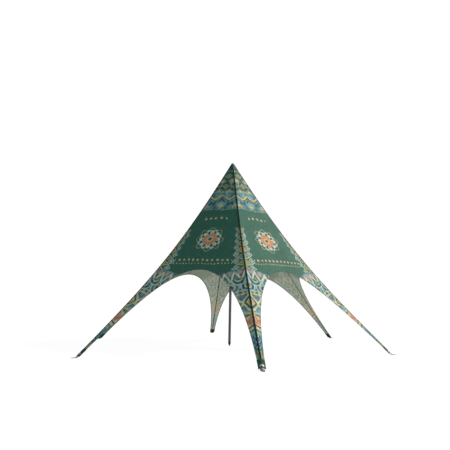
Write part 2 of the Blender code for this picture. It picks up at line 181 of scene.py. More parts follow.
class Paint(Nodes):
    # The nodes of one material
    def __init__(self, name):
        self.material = bpy.data.materials.new(name)
        self.material.use_nodes = True
        super().__init__(self.material.node_tree)
        self.tree.nodes.clear()

    def split(self, socket):
        parts = self.node("ShaderNodeSeparateXYZ", {}, {"Vector": socket})
        return [Number(self, out) for out in parts.outputs]

    def flat(self, name):
        return self.out("ShaderNodeUVMap", {"uv_map": name})

    def cut(self, name):
        return self.split(self.flat(name))[:2]

    def place(self):
        return self.node("ShaderNodeTexCoord").outputs["Object"]

    def mix(self, factor, first, second):
        return self.node("ShaderNodeMix", {"data_type": "RGBA"}, {0: factor, 6: first, 7: second}).outputs[2]

    def vary(self, value, low, high, lowest, highest):
        # Low to high becomes lowest to highest, and stays there beyond
        ends = {"From Min": low, "From Max": high, "To Min": lowest, "To Max": highest}
        return Number(self, self.out("ShaderNodeMapRange", {}, {"Value": value, **ends}))

    def spread(self, noise, lowest, highest):
        # Nearly all noise lies between 0.3 and 0.7
        return self.vary(noise, 0.3, 0.7, lowest, highest)

    def stain(self, colour, dye, most, value, low=0.3, high=0.7):
        # The dye comes in, up to most, where a value goes from low to high
        return self.mix(self.vary(value, low, high, 0.0, most), colour, dye)

    def noise(self, scale, detail=2.0, vector=None, stretch=None):
        vector = self.place() if vector is None else vector
        if stretch:
            vector = self.out("ShaderNodeMapping", {}, {"Vector": vector, "Scale": stretch})
        sockets = {"Vector": vector, "Scale": scale, "Detail": detail}
        return Number(self, self.out("ShaderNodeTexNoise", {}, sockets))

    def surface(self, colour, roughness, height=None, strength=0.5, depth=0.001, uniform=None):
        sockets = {"Base Color": colour, "Roughness": roughness, **(uniform or {})}
        if height is not None:
            lift = {"Height": height, "Strength": strength, "Distance": depth}
            sockets["Normal"] = self.out("ShaderNodeBump", {}, lift)
        shader = self.out("ShaderNodeBsdfPrincipled", {}, sockets)
        self.node("ShaderNodeOutputMaterial", {}, {"Surface": shader})
        return self.material


def linear(level):
    # A screen level, 0 to 255, as the linear value that nodes take
    share = level / 255
    return share / 12.92 if share < 0.04 else ((share + 0.055) / 1.055) ** 2.4


def palette(**colours):
    return {name: tuple(map(linear, colour)) for name, colour in colours.items()}


def above(value, edge, soft):
    return value.nodes.vary(value, edge - soft, edge + soft, 0.0, 1.0)


def below(value, edge, soft):
    return value.nodes.vary(value, edge - soft, edge + soft, 1.0, 0.0)


def between(value, low, high, soft):
    return above(value, low, soft) * below(value, high, soft)


def wrapped(value, pitch):
    # The distance from the nearest of a row of points that are a pitch apart
    return value.nodes.math("WRAP", value, pitch / 2, -pitch / 2)


def lozenge(x, y, halfWidth, halfHeight):
    # 0 in the middle of a lozenge and 1 on its edge
    return abs(x) / halfWidth + abs(y) / halfHeight


def threads(paint, across, along, pitch):
    turns = 2 * pi / pitch
    return paint.math("SINE", across * turns) * paint.math("SINE", along * turns)


# The print: generic geometric ornament, mirrored at every ridge

dyes = palette(
    field=(38, 94, 80),
    night=(20, 62, 62),
    blueWash=(112, 164, 180),
    deepBlue=(26, 82, 106),
    sky=(156, 200, 208),
    cream=(226, 218, 182),
    gold=(190, 178, 120),
    coral=(192, 124, 94),
    leaf=(116, 154, 118),
    tan=(160, 156, 118),
    shade=(14, 40, 36),
    washedOut=(200, 208, 192),  # the unprinted back of the cloth, made paler still as painted light coming through it
)
ornament = {
    "soft": 0.005,  # half the blur of a printed edge, in metres
    "crisp": 0.035,  # and as a share of a motif
    "wander": 0.15,  # how far the hand-drawn edges stray
    "crownCell": (0.34, 0.23),  # width and height of the lozenges on the crown
    "crownEnd": 1.30,  # lengths down the middle of a panel
    "bandEnd": 2.06,
    "friezeAt": 2.40,
    "rosetteAt": 3.24,
    "rosetteRadius": 0.46,
    "lowFriezeAt": 4.02,
    # Lengths down a ridge where the column, teeth, fans, kites, coral patches, chevrons, small lozenges
    # and stripes start
    "legBands": (2.92, 4.50, 4.86, 5.40, 6.06, 6.46, 6.76, 7.26),
    "brush": (11.0, 3.2, 1.0),  # strokes a metre, across and along the ridges
}


def scallops(paint, across, along, width, height):
    # Rows of overlapping fans; gives how far each point is from the middle of the fan it lies in
    best = None
    for row in (2, 1, 0):
        level = paint.math("FLOOR", along / height) + (row - 1)
        odd = paint.math("MODULO", abs(level), 2.0)
        x = wrapped(across + odd * (width / 2), width)
        y = along - level * height - height
        far = paint.math("SQRT", x * x + y * y) / (width / 2)
        if best is None:
            best = far
        else:
            covers = below(far, 1.0, 0.02)
            best = best + (far - best) * covers
    return best


def printedColour(paint):
    across, down = paint.cut("panelCut")
    fromRidge, along = paint.cut("ridgeCut")
    stray = (paint.noise(1.9, detail=3.0) - 0.5) * ornament["wander"]
    strayMore = (paint.noise(2.3, detail=3.0) - 0.5) * ornament["wander"]
    across, down, fromRidge, along = across + stray, down + strayMore, fromRidge + stray, along + strayMore
    soft, crisp, crownEnd = ornament["soft"], ornament["crisp"], ornament["crownEnd"]
    columnAt, teethAt, fansAt, kitesAt, coralAt, chevronAt, smallAt, stripesAt = ornament["legBands"]
    colour = dyes["field"]

    # Blue and cream are laid on with a brush, in streaks
    strokes = paint.noise(1.0, detail=3.0, vector=paint.flat("ridgeCut"), stretch=ornament["brush"])
    bristles = paint.noise(3.0, detail=2.0, vector=paint.flat("ridgeCut"), stretch=ornament["brush"])
    streaks = strokes + bristles * 0.3
    inks = dict(dyes)
    inks["blue"] = paint.stain(dyes["deepBlue"], dyes["blueWash"], 0.9, streaks, 0.50, 0.78)
    inks["cream"] = paint.stain(dyes["cream"], dyes["tan"], 0.8, bristles, 0.36, 0.64)

    def lay(mask, dye):
        nonlocal colour
        colour = paint.mix(mask, colour, inks[dye])

    def nest(mask, figure, *layers):
        # Shapes one inside the other, in a figure that is 0 in its middle
        for edge, dye in layers:
            lay(mask * below(figure, edge, crisp), dye)

    # Crown: small lozenges set apart on a dark ground
    crown = below(down, crownEnd, soft)
    width, height = ornament["crownCell"]
    odd = paint.math("MODULO", paint.math("FLOOR", down / height), 2.0)
    level = wrapped(down - height / 2, height)
    cell = lozenge(wrapped(across + odd * (width / 2), width), level, width * 0.44, height * 0.62)
    lay(crown * 0.35, "night")
    lay(crown * between(cell, 0.60, 0.92, crisp) * 0.9, "tan")
    lay(crown * below(cell, 0.46, crisp) * odd * 0.85, "cream")
    lay(crown * below(cell, 0.42, crisp) * (1 - odd), "leaf")
    dots = lozenge(wrapped(across + (odd + 1) * (width / 2), width), level, 0.048, 0.052)
    nest(crown, dots, (1.0, "blue"))

    # Shoulder band: zigzags on blue with lozenges in their notches
    band = between(down, crownEnd, ornament["bandEnd"], soft)
    swing = wrapped(across, 0.46)
    height = down - crownEnd
    lay(band * 0.62, "blue")
    for start, width, dye in (
        (0.10, 0.075, "gold"), (0.175, 0.03, "deepBlue"), (0.235, 0.03, "leaf"), (0.30, 0.075, "deepBlue"),
    ):
        lay(band * between(height - abs(swing) * 0.78, start, start + width, soft), dye)
    boss = lozenge(swing, height - 0.60, 0.105, 0.115)
    nest(band, boss, (1.0, "gold"), (0.68, "leaf"), (0.36, "cream"))
    for low, high in ((0.0, 0.03), (0.715, 0.735)):
        lay(between(height, low, high, soft), "leaf")

    # Field: friezes of small lozenges and a rosette of eight petals
    field = above(fromRidge, 0.34, soft)
    low = ornament["lowFriezeAt"]
    friezes = ((ornament["friezeAt"], 0.17, 0.046), (low, 0.15, 0.042), (low + 0.13, 0.10, 0.024))
    for start, pitch, size in friezes:
        bead = lozenge(wrapped(across, pitch), down - start, size, size * 1.15)
        lay(field * below(bead, 1.0, crisp) * 0.85, "cream")
        nest(field, bead, (0.38, "coral"))
    y = down - ornament["rosetteAt"]
    radius = paint.math("SQRT", across * across + y * y) / ornament["rosetteRadius"]
    turn = paint.math("ARCTAN2", across, y) * 4.0
    petal, gap = abs(paint.math("COSINE", turn)), abs(paint.math("SINE", turn))
    lay(below(radius - petal * 0.34, 0.66, 0.02) * 0.9, "gold")
    for reach, edge, dye in (
        (petal * 0.36, 0.60, "field"), (gap * 0.42, 0.42, "sky"), (gap * 0.36, 0.36, "deepBlue"),
        (petal * 0.46, 0.30, "cream"), (petal * 0.34, 0.24, "coral"),
        (0.0, 0.24, "gold"), (0.0, 0.13, "deepBlue"),
    ):
        lay(below(radius - reach, edge, 0.02), dye)

    # Column of lozenges up each ridge
    pitch = 0.25
    column = between(along, columnAt, teethAt, soft)
    grown = paint.vary(along, columnAt, teethAt, 0.07, 0.27)
    step = along - columnAt
    order = paint.math("MODULO", paint.math("FLOOR", step / pitch), 3.0)
    gem = lozenge(fromRidge, wrapped(step - pitch / 2, pitch), grown, pitch / 2)
    nest(column, gem, (1.06, "gold"), (0.80, "night"))
    for place, dye in enumerate(("coral", "blue", "leaf")):
        nest(column * between(order, place - 0.5, place + 0.5, 0.1), gem, (0.66, dye))
    side = lozenge(fromRidge - grown - 0.02, wrapped(step, pitch), grown * 0.42 + 0.01, 0.11)
    nest(column, side, (1.0, "sky"), (0.72, "deepBlue"), (0.44, "gold"))

    # Teeth and lozenges across the shoulders of the arches
    teeth = between(along, teethAt, fansAt, soft)
    tooth = abs(wrapped(fromRidge, 0.30)) / 0.15 + (fansAt - along) / (fansAt - teethAt)
    drop = lozenge(wrapped(fromRidge - 0.15, 0.30), along - teethAt - 0.12, 0.065, 0.095)
    lay(teeth, "blue")
    nest(teeth, tooth, (1.0, "cream"), (0.72, "sky"), (0.56, "deepBlue"), (0.36, "leaf"))
    nest(teeth, drop, (1.0, "coral"), (0.35, "gold"))

    # Fans over the head of each leg
    fans = between(along, fansAt, kitesAt, soft)
    far = scallops(paint, fromRidge, along - fansAt, 0.46, 0.25)
    lay(fans, "blue")
    for low, high, dye in ((0.82, 0.96, "sky"), (0.58, 0.74, "night"), (0.32, 0.50, "gold")):
        lay(fans * between(far, low, high, crisp), dye)
    nest(fans, far, (0.22, "deepBlue"))

    # Nested lozenges on blue
    kites = between(along, kitesAt, coralAt, soft)
    lay(kites, "blue")
    for shift in (0.0, 0.42):
        kite = lozenge(fromRidge - shift, along - (kitesAt + coralAt) / 2, 0.25, 0.31)
        nest(kites, kite, (1.04, "cream"), (0.74, "field"), (0.56, "deepBlue"))
        nest(kites, kite, (0.44, "gold"), (0.18, "coral"))
    for edge in (kitesAt, coralAt):
        lay(between(along, edge - 0.03, edge + 0.03, soft), "gold")

    # Bands of the lower leg
    slant = along - fromRidge * 0.55
    patches = above(slant, coralAt + 0.03, soft)
    patch = lozenge(wrapped(fromRidge - 0.07, 0.14), slant - coralAt - 0.21, 0.085, 0.21)
    lay(patches, "cream")
    nest(patches, patch, (0.95, "coral"))
    lay(above(slant, chevronAt, soft), "night")
    lay(between(slant, chevronAt + 0.05, chevronAt + 0.14, soft), "cream")
    lay(above(slant, chevronAt + 0.19, soft), "leaf")
    lowest = above(along, smallAt, soft)
    small = lozenge(fromRidge, wrapped(along - smallAt - 0.085, 0.17), 0.085, 0.09)
    lay(lowest, "blue")
    nest(lowest, small, (1.0, "night"), (0.55, "sky"))
    stripes = above(along, stripesAt, soft)
    lay(stripes, "field")
    lay(stripes * above(abs(wrapped(fromRidge, 0.062)), 0.013, 0.004), "tan")

    # Brush strokes of lighter and darker dye, everywhere but on the plain field
    busy = above(along, teethAt + 0.1, 0.2)
    busy = paint.math("MAXIMUM", busy, below(down, ornament["bandEnd"] - 0.05, 0.04))
    colour = paint.mix(busy * paint.vary(streaks, 0.68, 0.86, 0.0, 0.50), colour, dyes["sky"])
    return paint.mix(busy * paint.vary(streaks, 0.62, 0.46, 0.0, 0.50), colour, dyes["night"])


cloth = {
    "thickness": 0.0016,
    "flat": (1.36, 7.80),  # cut size of half a panel, square to its ridge and along it
    "rows": 96,
    "archColumns": 26,  # on each half of a panel
    "footColumns": 3,
    "bulge": 0.016,  # how far the middle stands proud of a straight line between two ridges
    "threadPitch": 0.0022,
    "roughness": 0.62,
    "palenessLitThrough": 0.46,  # how much of the print the inside loses, partly as painted light coming through the cloth
    "paintedGlowThrough": 0.10,  # strength of a painted glow on the inside, standing in for the daylight that the cloth lets in
}


def printedCloth(inside):
    paint = Paint("printedClothBack" if inside else "printedCloth")
    colour = printedColour(paint)
    cloudy = paint.noise(1.7, detail=3.0)
    mottled = paint.noise(11.0, detail=4.0)
    colour = paint.stain(colour, dyes["night"], 0.25, mottled, 0.35, 0.75)
    colour = paint.stain(colour, dyes["leaf"], 0.12, mottled, 0.45, 0.20)
    colour = paint.stain(colour, dyes["shade"], 0.10, cloudy)
    uniform = {"Sheen Weight": 0.12, "Sheen Roughness": 0.4, "Specular IOR Level": 0.25}
    if inside:
        # The inside shows the paler back of the print, made paler still as painted light coming through the
        # cloth
        colour = paint.mix(cloth["palenessLitThrough"], colour, dyes["washedOut"])
        # Painted glow on the inside, standing in for daylight through the cloth
        uniform = {"Emission Color": colour, "Emission Strength": cloth["paintedGlowThrough"]}
    across, along = paint.cut("ridgeCut")
    weave = threads(paint, across, along, cloth["threadPitch"])
    crease = paint.noise(1.0, detail=2.0, vector=paint.flat("panelCut"), stretch=(5.0, 0.7, 1.0))
    archAlong, fromArch = paint.cut("archCut")
    pucker = paint.math("SINE", archAlong * (2 * pi / 0.11)) * below(fromArch, 0.05, 0.05)
    height = weave * 0.04 + crease * 6.0 + pucker * 0.5
    roughness = paint.spread(cloudy, cloth["roughness"] - 0.06, cloth["roughness"] + 0.08)
    return paint.surface(colour, roughness, height, 0.35, 0.002, uniform)


clothFront, clothBack = printedCloth(False), printedCloth(True)
print("print made")


# Meshes


def newMesh(name, materials, points, faces, cuts=None, slots=None):
    mesh = bpy.data.meshes.new(name)
    mesh.from_pydata([tuple(p) for p in points], [], faces)
    for name, values in (cuts or {}).items():
        layer = mesh.uv_layers.new(name=name)
        loops = np.zeros(len(mesh.loops), np.int32)
        mesh.loops.foreach_get("vertex_index", loops)
        layer.data.foreach_set("uv", np.asarray(values, np.float32)[loops].ravel())
    for material in materials:
        mesh.materials.append(material)
    if slots is not None:
        mesh.polygons.foreach_set("material_index", slots)
    mesh.shade_smooth()
    return mesh


def sharpBorder(mesh):
    # Keeps the shading of a sheet's face apart from that of its thin edge
    work = bmesh.new()
    work.from_mesh(mesh)
    for edge in work.edges:
        edge.smooth = not edge.is_boundary
    work.to_mesh(mesh)
    work.free()


def closeUp(mesh, sharp, dist=1e-6, flat=0):
    # Merges doubles, joins faces that bend less than flat, turns all outwards and marks the sharp edges
    work = bmesh.new()
    work.from_mesh(mesh)
    bmesh.ops.remove_doubles(work, verts=work.verts, dist=dist)
    if flat:
        bmesh.ops.dissolve_limit(work, angle_limit=radians(flat), verts=work.verts, edges=work.edges)
    bmesh.ops.recalc_face_normals(work, faces=work.faces)
    work.to_mesh(mesh)
    work.free()
    mesh.shade_smooth()
    mesh.set_sharp_from_angle(angle=radians(sharp))
    return mesh


def runLength(points):
    # The distance along a line of points up to each of them
    steps = np.linalg.norm(np.diff(points, axis=0), axis=1)
    return np.concatenate([[0], np.cumsum(steps)])


def areaOf(mesh):
    return sum(p.area for p in mesh.polygons)


def link(thing):
    bpy.context.scene.collection.objects.link(thing)
    return thing


def addPiece(name, mesh, replaced=()):
    piece = link(bpy.data.objects.new(name, mesh))
    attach(piece, "root")
    if replaced:
        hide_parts(*replaced)
    return piece


def addSolid(name, materials, sharp, shape, turn=None, replaced=()):
    mesh = closeUp(newMesh(name, materials, *shape), sharp)
    if turn:
        mesh.transform(turn)
    return addPiece(name, mesh, replaced)


def thicken(piece, thickness, offset, back=0):
    wall = piece.modifiers.new("thickness", "SOLIDIFY")
    give(wall, thickness=thickness, offset=offset, material_offset=back, material_offset_rim=back)


def easeEdges(piece, width):
    edge = piece.modifiers.new("edge", "BEVEL")
    give(edge, width=width, segments=2, limit_method="ANGLE", angle_limit=radians(40))


def gridFaces(rows, columns, closed=False, flipped=False):
    # Quads between rows, or closed rings, of points that are numbered one row after the other
    corner = np.arange(rows * columns).reshape(rows, columns)
    if closed:
        corner = np.hstack([corner, corner[:, :1]])
    quads = [corner[:-1, :-1], corner[1:, :-1], corner[1:, 1:], corner[:-1, 1:]]
    if flipped:
        quads[1], quads[3] = quads[3], quads[1]
    return np.stack([q.ravel() for q in quads], 1).tolist()


def tubeFaces(rings, count):
    # Quads round a tube through rings of points, and its two ends
    ends = [list(range(count))[::-1], list(range((rings - 1) * count, rings * count))]
    return gridFaces(rings, count, closed=True, flipped=True) + ends


# Canopy: six panels, each of two mirrored halves that fit a 1.5 m roll of cloth


def archLine():
    # The arch's edge in the unrolled panel, and its length so far
    x, y = archPoint(np.linspace(-1, 1, 400))
    line = np.stack([downAt(x), y], 1)
    return line, runLength(line)


def onPanel(x, y, lift=0.0):
    # A point of the cloth in its panel's frame; the cloth stands a little proud between its two ridges
    fall = fallAt(x)
    long = np.sqrt(1 + fall * fall)
    proud = cloth["bulge"] * (1 - (y / (x * tanHalf)) ** 2) * np.clip(x * tanHalf, 0, 1) + lift
    return np.stack([x - fall / long * proud, y, sheetHeight(x) + proud / long], -1)


def halfPanel():
    shares = np.linspace(0, 1, cloth["archColumns"] + 1)
    endX, endY = archPoint(shares)
    foot = np.linspace(0, 1, cloth["footColumns"] + 1)[1:]
    endX = np.append(endX, footCorner[0] + (ridgeEnd[0] - footCorner[0]) * foot)
    endY = np.append(endY, footCorner[1] + (ridgeEnd[1] - footCorner[1]) * foot)
    start = tent["topRadius"] * cosHalf
    part = np.linspace(0, 1, cloth["rows"] + 1)[:, None]
    x = start + (endX[None] - start) * part
    y = x * (endY / endX)[None]
    return x, y


def unrolled(x, y):
    # Places in the panel laid flat, from its middle and from its nearer ridge
    beside = x * tanHalf - abs(y)
    lean = np.arctan(tanHalf / np.sqrt(1 + fallAt(x) ** 2))
    fromMiddle = np.stack([y, downAt(x)], -1)
    fromRidge = np.stack([beside * np.cos(lean), ridgeAt(x) - beside * np.sin(lean)], -1)
    return fromMiddle.reshape(-1, 2), fromRidge.reshape(-1, 2)


def canopyPanels():
    x, y = halfPanel()
    points = onPanel(x, y).reshape(-1, 3)
    line, lengths = archLine()
    flat = np.stack([downAt(x), y], 2).reshape(-1, 2)
    gaps = np.linalg.norm(flat[:, None] - line[None], axis=2)
    nearest = gaps.argmin(1)
    faces = gridFaces(*x.shape)
    area = 0.0
    for panel, turn in panelTurns:
        for side, word in ((1, "left"), (-1, "right")):
            placed = points * (1, side, 1)
            fromMiddle, fromRidge = unrolled(x, side * y)
            edge = np.stack([side * lengths[nearest], gaps.min(1)], 1)
            cuts = {"panelCut": fromMiddle, "ridgeCut": fromRidge, "archCut": edge}
            name = f"panel_sheet_{panel}_{word}"
            ordered = faces if side > 0 else [face[::-1] for face in faces]
            mesh = newMesh(name, [clothFront, clothBack], placed, ordered, cuts)
            area = area or areaOf(mesh)
            sharpBorder(mesh)
            mesh.transform(turn)
            piece = addPiece(name, mesh, [f"canopy_panel_{panel}"])
            thicken(piece, cloth["thickness"], -1, back=1)
    print("canopy panels", round(area, 3), "square metres each half")
    return area


halfArea = canopyPanels()


# Finishes of the fittings and bands

hues = palette(
    hem=(112, 124, 108),
    seam=(26, 62, 58),
    strap=(4, 38, 38),
    thread=(44, 78, 76),
    boot=(26, 70, 66),
    mud=(88, 82, 66),
    # colour of the painted shade on the undersides of the foot plates
    soil=(34, 35, 29),
    cap=(14, 66, 62),
    zinc=(196, 200, 200),
    zincDark=(128, 131, 130),
    plate=(154, 157, 152),
    plateDark=(98, 100, 94),
    bolt=(220, 222, 220),
    pole=(112, 122, 126),
    worn=(150, 153, 158),
    plastic=(26, 27, 28),
    scuffed=(52, 53, 54),
)


def wovenBand(name, dye, pitch, slant, dirt=0.0):
    # Ribs that run in a herringbone across a tape or a strap
    paint = Paint(name)
    across, along = paint.cut("bandCut")
    turns = 2 * pi / pitch
    rib = paint.math("SINE", (along + abs(across) * slant) * turns)
    yarn = paint.math("SINE", across * (turns / 0.8))
    cloudy = paint.noise(14.0, detail=3.0)
    faded = tuple(min(1, c * 1.7 + 0.002) for c in dye)
    colour = paint.stain(dye, faded, 0.5, cloudy)
    colour = paint.mix(paint.vary(rib * yarn, -1, 1, 0.22, 0.0), colour, (0, 0, 0))
    if dirt:
        splash = paint.vary(paint.split(paint.place())[2] + cloudy * 0.16, 0.02, 0.26, dirt, 0.0)
        colour = paint.mix(splash, colour, hues["mud"])
    height, uniform = rib * 0.6 + yarn * 0.4, {"Specular IOR Level": 0.15}
    return paint.surface(colour, paint.spread(cloudy, 0.58, 0.74), height, 0.5, 0.0004, uniform)


def steelFinish(name, light, dark, roughness, soiled=0.0):
    # Zinc plating: soft crystals, fine rubbed lines and dull places, and painted shade on the undersides
    paint = Paint(name)
    crystals = paint.node("ShaderNodeTexVoronoi", {}, {"Vector": paint.place(), "Scale": 90.0})
    bright = paint.out("ShaderNodeRGBToBW", {}, {"Color": crystals.outputs["Color"]})
    dull = paint.noise(22.0, detail=5.0)
    lines = paint.noise(60.0, detail=4.0, stretch=(9.0, 9.0, 0.4))
    colour = paint.stain(light, dark, 0.35, bright, 0.2, 0.8)
    colour = paint.stain(colour, dark, 0.75, dull, 0.45, 0.72)
    if soiled:
        # Painted shade: darker where the surface faces down, more so in the dull places
        facing = paint.split(paint.node("ShaderNodeTexCoord").outputs["Normal"])[2]
        colour = paint.stain(colour, hues["soil"], soiled, facing + dull * 0.2, 0.0, -0.4)
    sheen = paint.vary(dull, 0.35, 0.7, roughness - 0.1, roughness + 0.2) + paint.spread(lines, -0.05, 0.05)
    return paint.surface(colour, sheen, lines * 0.5 + dull * 0.5, 0.2, 0.0005, {"Metallic": 0.6})


def coatedTube():
    # Satin dark grey coating with fine grain and a few long scuffs, darker towards the bottom
    paint = Paint("poleCoating")
    grain = paint.noise(900.0, detail=1.0)
    cloudy = paint.noise(7.0, detail=4.0)
    worn = paint.vary(paint.noise(30.0, detail=3.0, stretch=(3.0, 3.0, 0.06)), 0.62, 0.74, 0.0, 0.6)
    # Darker towards the bottom
    darkerLow = paint.vary(paint.split(paint.place())[2] + cloudy * 0.3, 0.10, 0.60, 0.45, 0.0)
    colour = paint.stain(hues["pole"], hues["plastic"], 0.3, cloudy)
    colour = paint.mix(worn, colour, hues["worn"])
    colour = paint.mix(darkerLow, colour, hues["plastic"])
    roughness = paint.spread(cloudy, 0.34, 0.5) + worn * 0.15
    return paint.surface(colour, roughness, grain * 0.5 - worn * 0.4, 0.25, 0.0003, {"Metallic": 0.35})


def grainy(name, grain, clouds, first, second, low, rough, depth):
    # Fine grain, and cloudy places of another colour and gloss
    paint = Paint(name)
    cloudy = paint.noise(*clouds)
    colour = paint.stain(first, second, 0.5, cloudy, low)
    return paint.surface(colour, paint.spread(cloudy, *rough), paint.noise(grain), 0.3, depth)


def capCloth():
    # Plain dyed cloth, faded by the sun towards the top
    paint = Paint("capCloth")
    around, down = paint.cut("bandCut")
    weave = threads(paint, around, down, 0.0024)
    cloudy = paint.noise(9.0, detail=4.0)
    folds = paint.noise(5.0, detail=3.0, stretch=(1.0, 1.0, 0.25))
    colour = paint.stain(hues["cap"], dyes["night"], 0.3, cloudy)
    colour = paint.mix(paint.vary(down, 0.0, 0.22, 0.14, 0.0), colour, dyes["leaf"])
    height = weave * 0.05 + folds * 3.0
    uniform = {"Sheen Weight": 0.10, "Sheen Roughness": 0.45, "Specular IOR Level": 0.3}
    return paint.surface(colour, paint.spread(cloudy, 0.56, 0.7), height, 0.35, 0.002, uniform)


hemTape = wovenBand("hemTape", hues["hem"], 0.0034, 0.6)
seamTape = wovenBand("seamTape", hues["seam"], 0.0034, 0.6)
strapWebbing = wovenBand("strapWebbing", hues["strap"], 0.0050, 1.0)
bootCloth = wovenBand("bootCloth", hues["boot"], 0.0046, 0.0, dirt=0.45)
thread = grainy("thread", 1500.0, (5.0, 2.0), hues["thread"], hues["strap"], 0.3, (0.4, 0.55), 0.0002)
clampSteel = steelFinish("clampSteel", hues["zinc"], hues["zincDark"], 0.42)
# The foot plates get painted shade on their undersides
plateSteel = steelFinish("plateSteel", hues["plate"], hues["plateDark"], 0.46, soiled=0.92)
boltSteel = steelFinish("boltSteel", hues["bolt"], hues["zinc"], 0.3)
poleCoating = coatedTube()
blackPlastic = grainy(
    "mouldedPlastic", 700.0, (12.0, 4.0), hues["plastic"], hues["scuffed"], 0.35, (0.42, 0.6), 0.0003)
capDye = capCloth()
print("finishes made")


# Stitching: short rounded threads along rows, placed by one node tree

sewing = {"pitch": 0.015, "length": 0.0092, "thickness": 0.0014}


def startTree(name, inputs, output):
    # A node tree with named inputs, of the kinds given; returns its nodes and what comes in
    tree = bpy.data.node_groups.new(name, "GeometryNodeTree")
    for key, kind in inputs.items():
        tree.interface.new_socket(key, in_out="INPUT", socket_type=f"NodeSocket{kind}")
    tree.interface.new_socket(output, in_out="OUTPUT", socket_type="NodeSocketGeometry")
    nodes = Nodes(tree)
    return nodes, nodes.node("NodeGroupInput").outputs


def endTree(nodes, finish, points, shape, along, size=(1.0, 1.0, 1.0)):
    # A shape on each point, its X axis turned along
    turn = nodes.out("FunctionNodeAlignRotationToVector", {"axis": "X"}, {"Vector": along})
    sockets = {"Points": points, "Instance": shape, "Rotation": turn, "Scale": size}
    placed = nodes.out("GeometryNodeInstanceOnPoints", {}, sockets)
    real = nodes.out("GeometryNodeRealizeInstances", {}, {0: placed})
    finished = nodes.out("GeometryNodeSetMaterial", {}, {0: real, "Material": finish})
    nodes.node("NodeGroupOutput", {}, {0: finished})
    return nodes.tree


def stitchTree():
    sizes = dict.fromkeys(("Pitch", "Length", "Thickness"), "Float")
    nodes, given = startTree("stitching", {"Rows": "Geometry", **sizes, "Finish": "Material"}, "Stitches")
    curve = nodes.out("GeometryNodeMeshToCurve", {}, {"Mesh": given["Rows"]})
    sockets = {"Curve": curve, "Length": given["Pitch"]}
    spaced = nodes.out("GeometryNodeResampleCurve", {"mode": "LENGTH"}, sockets)
    ball = nodes.out("GeometryNodeMeshIcoSphere", {}, {"Radius": 0.5, "Subdivisions": 1})
    shape = nodes.out("GeometryNodeSetShadeSmooth", {}, {0: ball})
    thick = given["Thickness"]
    size = nodes.out("ShaderNodeCombineXYZ", {}, {"X": given["Length"], "Y": thick, "Z": thick})
    return endTree(nodes, given["Finish"], spaced, shape, nodes.out("GeometryNodeInputTangent"), size)


def treeMesh(name, mesh, tree, values):
    # The plain mesh that a node tree makes of a mesh
    carrier = link(bpy.data.objects.new(name, mesh))
    modifier = carrier.modifiers.new("nodes", "NODES")
    modifier.node_group = tree
    sockets = {s.name: s.identifier for s in tree.interface.items_tree if s.in_out == "INPUT"}
    for key, value in values.items():
        modifier[sockets[key]] = value
    bpy.context.view_layer.update()
    shown = carrier.evaluated_get(bpy.context.evaluated_depsgraph_get())
    made = bpy.data.meshes.new_from_object(shown)
    bpy.data.objects.remove(carrier)
    bpy.data.meshes.remove(mesh)
    return made


sewn = stitchTree()


def stitches(name, rows, turn):
    edges, start = [], 0
    for row in rows:
        edges += [(start + i, start + i + 1) for i in range(len(row) - 1)]
        start += len(row)
    mesh = bpy.data.meshes.new(name)
    mesh.from_pydata(np.concatenate(rows).tolist(), edges, [])
    mesh.transform(turn)
    values = {key.capitalize(): value for key, value in sewing.items()}
    return addPiece(name, treeMesh(name, mesh, sewn, {**values, "Finish": thread}))


# Bands over the ridges


def onRidge(radius, side, lift=0.0, bend=0.0):
    # A point over a ridge in its leg's frame, side metres from the fold in plan; bend rounds the fold
    reach = np.sqrt(np.asarray(side) ** 2 + bend**2)
    x = radius * cosHalf + reach * sinHalf
    share = (radius * sinHalf - reach * cosHalf) / (x * tanHalf)
    proud = cloth["bulge"] * (1 - share**2) * np.clip(x * tanHalf, 0, 1)
    rise = (proud + lift) * np.sqrt(1 + fallAt(x) ** 2)
    return np.stack(np.broadcast_arrays(radius, side, sheetHeight(x) + rise), -1)


def legHalfWidth(radius):
    x, y = archPoint(np.linspace(0, 1, 200))
    return np.interp(radius, x * cosHalf + y * sinHalf, x * sinHalf - y * cosHalf)


def ridgeBand(radii, sizes, columns=5):
    # A closed band over a ridge, its points closer together at the fold
    part = np.linspace(-1, 1, 2 * columns + 1)
    sides = np.sign(part) * abs(part) ** 1.5 * sizes["halfWidth"]
    top = sizes["lift"] + sizes["thickness"]
    points, cuts = [], []
    for radius in radii:
        points += [onRidge(radius, sides, top, sizes["bend"]), onRidge(radius, sides[::-1], sizes["lift"])]
        along = float(ridgeAt(radius * cosHalf))
        cuts += [(side, along) for side in (*sides, *sides[::-1])]
    return np.concatenate(points), tubeFaces(len(radii), 2 * len(part)), {"bandCut": cuts}


straps = {
    "halfWidth": 0.0245,
    "lift": 0.0004,
    "thickness": 0.0026,
    "bend": 0.0035,  # radius that the strap makes over the fold
    "start": 0.192,
    "stations": 110,
    "stitchAt": 0.0185,
}
seamTapes = {
    "halfWidth": 0.014,
    "lift": -cloth["thickness"] - 0.0014,  # to the tape's underside, which hangs just clear of the cloth
    "thickness": 0.0012,
    "bend": 0.001,
    "span": (0.24, tent["legRadius"] - 0.16),
    "stations": 70,
}
boots = {
    "length": 0.165,
    "flat": (0.29, 0.24),  # cut size
    "stations": 10,
    "lift": 0.0007,
    "thickness": 0.0020,
    "overCord": 0.0068,  # radius at which it goes round the cord in the hem
    "under": 0.026,  # width folded under the leg
    "bend": 0.004,
}


